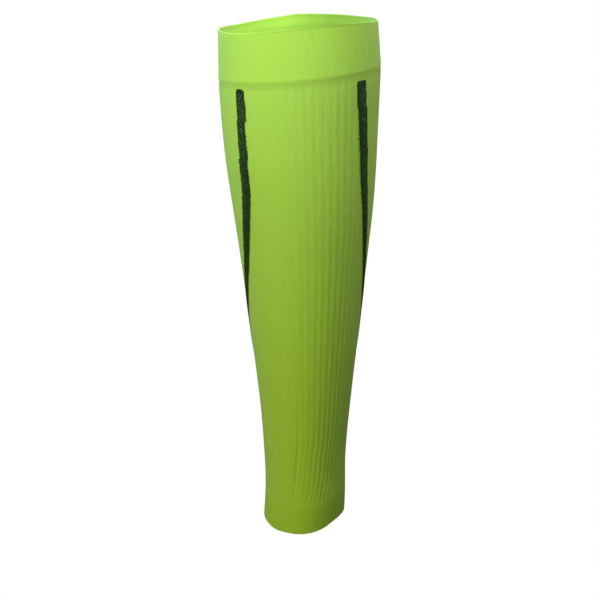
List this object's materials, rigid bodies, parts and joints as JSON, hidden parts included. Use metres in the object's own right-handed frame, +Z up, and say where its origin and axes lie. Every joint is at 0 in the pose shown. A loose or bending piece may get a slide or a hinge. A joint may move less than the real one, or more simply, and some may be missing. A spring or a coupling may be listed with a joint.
{
  "type": "calf compression sleeve",
  "caption": "Tapered knitted sleeve for the calf, in its worn form, with a plain cuff at each end, a ribbed shin panel and contrast stripes down its sides.",
  "frame": {"origin": "on the leg's axis, level with the middle of the top cuff's rim", "axes": "+Z up the leg towards the knee, -Y towards the shin, +X to the right of someone who faces the shin"},
  "size_m": [0.1058, 0.1085, 0.3655],
  "materials": {
    "body_knit": "matt lime-green nylon and elastane knit",
    "cuff_knit": "matt lime-green double-layer welt, finer and smoother than the body",
    "stripe_yarn": "matt dark green-black yarn knitted into the lime"
  },
  "bodies": {
    "root": {"top_cuff": "cuff_knit", "sleeve_body": "body_knit", "stripe_left": "stripe_yarn", "stripe_right": "stripe_yarn", "ankle_cuff": "cuff_knit"}
  },
  "joints": []
}
